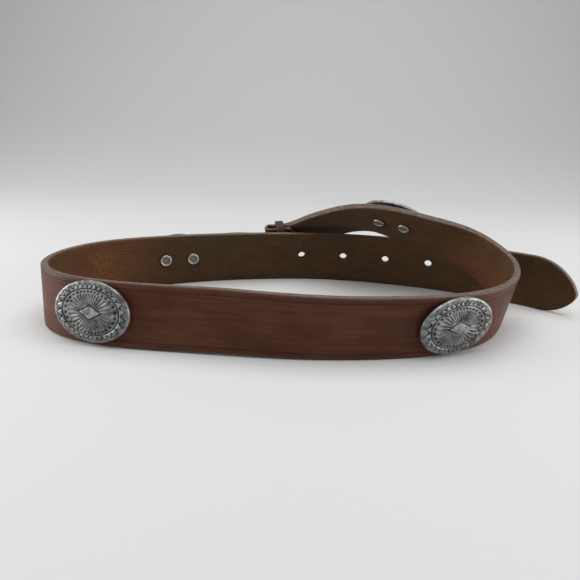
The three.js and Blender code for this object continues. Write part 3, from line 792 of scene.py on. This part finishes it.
def conchoRivets(metal):
    head, height, shank = rivetPiece["head"] / 2, rivetPiece["height"], belt["rivetShank"] / 2
    for row in belt["conchos"]:
        station = conchoStation(row)
        backPlane = pointsIn(station, 0, 0, conchoSeat(row))
        for k, (at, across) in enumerate(rivetPlaces(row)):
            local = rowOf(framesAt(at))
            toBack = (backPlane - pointsIn(local, 0, across, 0)) @ station["out"] / (local["out"] @ station["out"])
            shankEnd = toBack - 2 * belt["fitGap"]
            foot = -seatOver(at, across, head, head, -1) - belt["facetGap"]
            top = foot - height
            profile = [
                *((wide * head, top + down * height, recess) for wide, down, recess in rivetPiece["dish"]),
                (head, foot, 1), (shank, foot, 0.6), (shank, shankEnd, 0.6)]
            node = row[0].replace("concho", "rivet") + "ab"[k]
            makeRivet("rivetHead" + node[-2:], at, across, profile, node, metal)
    at = belt["barAt"] - belt["foldRivetFromBar"]
    for side, across in (("Upper", belt["foldRivetSpread"]), ("Lower", -belt["foldRivetSpread"])):
        foldHead = rivetPiece["foldHead"] / 2
        foot = seatOver(at, across, foldHead, foldHead, 1) + belt["facetGap"]
        shankEnd = outerFace - flapDepth(belt["foldRivetFromBar"]) + belt["fitGap"]
        profile = [
            (shank, shankEnd, 0.6), (shank, foot, 0.6), (foldHead, foot, 0.4),
            *((wide * foldHead, foot + up * height, 0) for wide, up in rivetPiece["foldDome"])]
        makeRivet("foldRivet" + side, at, across, profile, "fold_rivet_" + side.lower(), metal)


conchoRivets(rivetMetal())
print("rivets made")

# Keeper
keeperPiece = {"length": 9.0, "wall": 2.0, "gap": 0.35, "fromBar": 6.2, "corner": 1.2, "edgeCorner": 0.7}
keeperLook = {**strapLook, "grainDark": (0.022, 0.012, 0.009), "grainLight": (0.05, 0.028, 0.02),
              "edgeDark": (0.10, 0.075, 0.06), "edgeLight": (0.2, 0.16, 0.13),
              "creaseInset": 1.6, "creaseWidth": 0.3}


def makeKeeper():
    piece = keeperPiece
    half, wall = piece["length"] / 2, piece["wall"]
    offset, lift = roundedOutline(half, wall / 2, piece["edgeCorner"], 5).T[:, None, :]
    lift = lift + wall / 2
    path = []
    for quarter in range(4):
        signAcross, signOut = (1, -1, -1, 1)[quarter], (1, 1, -1, -1)[quarter]
        for t in np.linspace(0, 1, 9):
            turn = math.pi / 2 * (quarter + t)
            path.append((signAcross, signOut, math.cos(turn), math.sin(turn)))
        nextAcross, nextOut = (-1, -1, 1, 1)[quarter], (1, -1, -1, 1)[quarter]
        for t in np.linspace(0, 1, 10)[1:-1]:
            turn = math.pi / 2 * (quarter + 1)
            sideAcross, sideOut = signAcross + (nextAcross - signAcross) * t, signOut + (nextOut - signOut) * t
            path.append((sideAcross, sideOut, math.cos(turn), math.sin(turn)))
    signAcross, signOut, cos, sin = np.array(path).T[:, :, None]
    before = piece["fromBar"] + half + offset
    lengths = (belt["barAt"] - before).ravel()
    low, high, _ = (v.reshape(1, -1) for v in sectionAt(lengths))
    depth = flapDepth(before)
    margin = piece["gap"] + lift
    bend = piece["corner"] + margin
    across = (low + high) / 2 + signAcross * ((high - low) / 2 + margin - bend) + bend * cos
    out = outerFace - depth / 2 + signOut * (depth / 2 + margin - bend) + bend * sin
    frames = {key: rows.reshape(1, -1, 3) for key, rows in framesAt(lengths).items()}
    rings = pointsIn(frames, 0 * across, across, out)
    keeper = meshObject("keeperBand", rings, gridFaces(rings.shape[0], rings.shape[1], True))
    pathSteps = np.diff(rings[:, 7], axis=0, prepend=rings[-1:, 7])
    walk = np.cumsum(np.linalg.norm(pathSteps, axis=1))[:, None]
    for name, values in (("leatherPlace", (walk, offset, wall - lift)),
                         ("leatherEdge", (half - np.abs(offset), wall - lift, lift))):
        rows = np.stack([value + 0 * across for value in values], -1)
        addAttribute(keeper, name, rows.reshape(-1, 3))
    return asPiece(keeper, strapLeather("keeperLeather", keeperLook), "keeper_leather", "keeper")


makeKeeper()

# Buckle
bucklePiece = {
    "halfWidth": 34.0, "halfHeight": 18.3, "power": 2.3, "wall": 1.8, "dome": 4.0, "rim": 0.8,
    "fromBar": 31.5, "standOff": 8.0, "turn": 6.0, "barHalf": 14.5,
    "lugWidth": 5.0, "lugThickness": 2.4, "pegDiameter": 3.2, "pegLength": 6.0, "pegAt": 18.0, "beads": 96,
    "lugAt": 11.0, "lugCorner": 0.6, "grooveAt": 0.885,
}


def buckleStation():
    piece = bucklePiece
    turn = math.radians(piece["turn"])
    x, y, _ = unit(barFrame["along"] * [1, 1, 0])
    along = np.array([x * math.cos(turn) - y * math.sin(turn), x * math.sin(turn) + y * math.cos(turn), 0])
    across = unit(barFrame["across"] - along * (barFrame["across"] @ along))
    out = np.cross(along, across)
    origin = barFrame["origin"] + along * piece["fromBar"] + barFrame["out"] * piece["standOff"]
    origin[2] = piece["halfHeight"] * across[2] + (piece["wall"] + piece["rim"]) * max(0, -out[2]) + belt["fitGap"]
    return {"origin": origin, "along": along, "across": across, "out": out}


def makeBuckle():
    piece = bucklePiece
    station = buckleStation()
    turns = 2 * math.pi * np.arange(288) / 288
    cos, sin = np.cos(turns), np.sin(turns)
    reachAlong = np.sign(cos) * np.abs(cos) ** (2 / piece["power"]) * piece["halfWidth"]
    reachAcross = np.sign(sin) * np.abs(sin) ** (2 / piece["power"]) * piece["halfHeight"]
    backSizes = np.linspace(0.04, 1.0, 24)
    frontSizes = np.linspace(1.0, 0.03, 60)

    def dome(size):
        return piece["dome"] * (1 - size ** 2)

    rim = np.clip((frontSizes - 0.91) / 0.09, 0, 1)
    bead = 0.5 + 0.5 * np.cos(turns * piece["beads"])
    beadRow = np.sin(math.pi * np.clip((frontSizes - 0.93) / 0.05, 0, 1)) ** 2
    front = (piece["wall"] + dome(frontSizes) + piece["rim"] * np.sin(math.pi * rim) ** 0.7)[:, None] + 0 * turns
    front = front + 0.25 * beadRow[:, None] * (bead - 0.5)
    front = front - 0.25 * np.exp(-((frontSizes - piece["grooveAt"]) / 0.012) ** 2)[:, None]
    sizes = np.concatenate([backSizes, frontSizes])[:, None]
    heights = np.concatenate([dome(backSizes)[:, None] + 0 * turns, front])
    rings = pointsIn(station, sizes * reachAlong, sizes * reachAcross, heights)
    grooveRecess = np.exp(-((frontSizes - piece["grooveAt"]) / 0.014) ** 2)[:, None]
    frontRecess = grooveRecess + 0.5 * (1 - bead) * (rim > 0)[:, None]
    recess = np.concatenate([0.35 + 0 * backSizes[:, None] + 0 * turns, frontRecess])
    back, top = pointsIn(station, 0, 0, piece["dome"]), pointsIn(station, 0, 0, piece["dome"] + piece["wall"])
    plate = poleObject("buckleCasting", back, rings, top)
    addAttribute(plate, "recess", np.concatenate([np.clip(recess, 0, 1).ravel(), [0.35, 0]]))
    turnBar = 2 * math.pi * np.arange(32) / 32
    ends = np.array([(0.0, 1.0), (0.35, 0.94), (0.7, 0.7), (0.94, 0.35), (1.0, 0.0)])
    radii = np.concatenate([ends[:, 0], ends[::-1, 0]])[1:-1] * belt["barDiameter"] / 2
    across = np.concatenate([piece["barHalf"] - 1 + ends[:, 1], -piece["barHalf"] + 1 - ends[::-1, 1]])[1:-1]
    radii, across = radii[:, None], across[:, None]
    barRings = pointsIn(barFrame, radii * np.cos(turnBar), across + 0 * turnBar, radii * np.sin(turnBar))
    bar = loftObject("buckleBar", barRings)
    plateAlong = piece["lugAt"] - piece["fromBar"]
    seat = pointsIn(station, plateAlong, 0, dome(abs(plateAlong) / piece["halfWidth"]) + piece["wall"] / 2)
    way = seat - barFrame["origin"]
    way = way - barFrame["across"] * (way @ barFrame["across"])
    lugStation = {**barFrame, "along": unit(way), "out": np.cross(unit(way), barFrame["across"])}
    wide, thick = roundedOutline(piece["lugWidth"] / 2, piece["lugThickness"] / 2, piece["lugCorner"], 4).T
    steps = np.linspace(0, np.linalg.norm(way), 6)[:, None]
    lug = loftObject("buckleLug", pointsIn(lugStation, steps + 0 * wide, wide + 0 * steps, thick + 0 * steps))
    pegBase = dome(piece["pegAt"] / piece["halfWidth"]) + piece["wall"] / 2
    pegTop = pegBase - piece["wall"] / 2 - piece["pegLength"]
    radius = piece["pegDiameter"] / 2
    heights = np.array([0.0, 0.05, 0.2, 0.5, 1.0, pegBase - pegTop])
    sizes = np.array([0.35, 0.6, 0.83, 0.97, 1.0, 1.0])[:, None] * radius
    along, across = piece["pegAt"] + sizes * np.cos(turnBar), sizes * np.sin(turnBar)
    peg = loftObject("bucklePeg", pointsIn(station, along, across, (pegTop + heights)[:, None] + 0 * turnBar))
    for part in (bar, lug, peg):
        addAttribute(part, "recess", np.full(len(part.data.vertices), 0.25))
        keepSharp(part, 45)
    keepSharp(plate, 60)
    with bpy.context.temp_override(active_object=plate, selected_editable_objects=[plate, bar, lug, peg]):
        bpy.ops.object.join()
    metal = conchoMetal("buckleMetal", {**conchoLook, "roughness": 0.32})
    return asPiece(plate, metal, "buckle_metal", "buckle")


makeBuckle()
print("keeper and buckle made")

# Floor and backdrop in one pale sweep
studio = {
    # wall: painted shade, the same paper made darker high on the backdrop where less light falls
    "colour": (0.585, 0.585, 0.582), "wall": (0.45, 0.45, 0.45), "mottle": (0.5, 0.5, 0.5),
    "back": 1.0, "curve": 0.6, "height": 1.6, "front": -1.1, "side": 1.7,
    "air": (0.97, 0.985, 1.0, 1), "airStrength": 0.30,
}


def makeSweep():
    curve, curveStart = studio["curve"], studio["back"] - studio["curve"]
    profile = [(studio["front"], 0.0), (curveStart, 0.0)]
    for t in np.linspace(0, 1, 25)[1:]:
        turn = math.pi / 2 * t
        profile.append((curveStart + curve * math.sin(turn), curve * (1 - math.cos(turn))))
    profile.append((studio["back"], studio["height"]))
    points = [(side * studio["side"], y, z) for y, z in profile for side in (-1, 1)]
    faces = [(2 * k, 2 * k + 1, 2 * k + 3, 2 * k + 2) for k in range(len(profile) - 1)]
    mesh = bpy.data.meshes.new("paleSweep")
    mesh.from_pydata(points, [], faces)
    mesh.shade_smooth()
    sweep = bpy.data.objects.new("paleSweep", mesh)
    bpy.context.scene.collection.objects.link(sweep)
    paper = Finish("palePaper")
    place = paper.node("ShaderNodeTexCoord", output="Object")
    # painted shade: the paper's colour darkens from the floor colour to the wall colour up the sweep, standing in
    # for the light falling off there
    colour = paper.tint(paper.axes(place)[1].ramped(0.28, 0.72), studio["colour"], studio["wall"])
    colour = paper.tint(0.04 * paper.noise(place, 60.0, 4.0), colour, studio["mottle"])
    mesh.materials.append(paper.surface({"Base Color": colour, "Roughness": 0.75}))


makeSweep()

lamps = [
    # name, place, aimed at, size, watts
    ("overheadPanel", (0.0, 0.02, 1.15), (0.0, 0.0, 0.0), 1.2, 13.2),
    ("leftPanel", (-0.7, -0.08, 0.16), (-0.17, -0.02, 0.03), 0.3, 3.4),
    ("rightPanel", (0.7, -0.14, 0.16), (0.15, -0.02, 0.03), 0.3, 3.4),
]


def makeLamps():
    for name, place, target, size, watts in lamps:
        light = bpy.data.lights.new(name, "AREA")
        light.shape, light.size, light.energy = "SQUARE", size, watts
        lamp = bpy.data.objects.new(name, light)
        bpy.context.scene.collection.objects.link(lamp)
        away = unit(np.array(place) - np.array(target))
        side = unit(np.cross([0, 1.0, 0.1], away))
        turned = np.eye(4)
        turned[:3] = np.stack([side, np.cross(away, side), away, place], -1)
        lamp.matrix_world = Matrix(turned.tolist())
    world = bpy.data.worlds.new("studioAir")
    world.use_nodes = True
    background = world.node_tree.nodes["Background"].inputs
    background["Color"].default_value = studio["air"]
    background["Strength"].default_value = studio["airStrength"]
    bpy.context.scene.world = world
    bpy.context.scene.view_settings.view_transform = "Standard"


makeLamps()

# Camera: place in the belt's own way, before the shift
view = {"place": (6.0, -372.0, 143.0), "pitch": 19.0, "roll": 2.0, "lens": 36.0, "sensor": 36.0}


def makeCamera():
    data = bpy.data.cameras.new("photoCamera")
    data.sensor_width, data.lens = view["sensor"], view["lens"]
    data.clip_start = 0.01
    camera = bpy.data.objects.new("photoCamera", data)
    bpy.context.scene.collection.objects.link(camera)
    place = toMetres([view["place"]])[0]
    tilt = Matrix.Rotation(math.radians(90 - view["pitch"]), 4, "X")
    roll = Matrix.Rotation(math.radians(view["roll"]), 4, "Z")
    camera.matrix_world = Matrix.Translation(place.tolist()) @ tilt @ roll
    bpy.context.scene.camera = camera


makeCamera()
print("studio made")
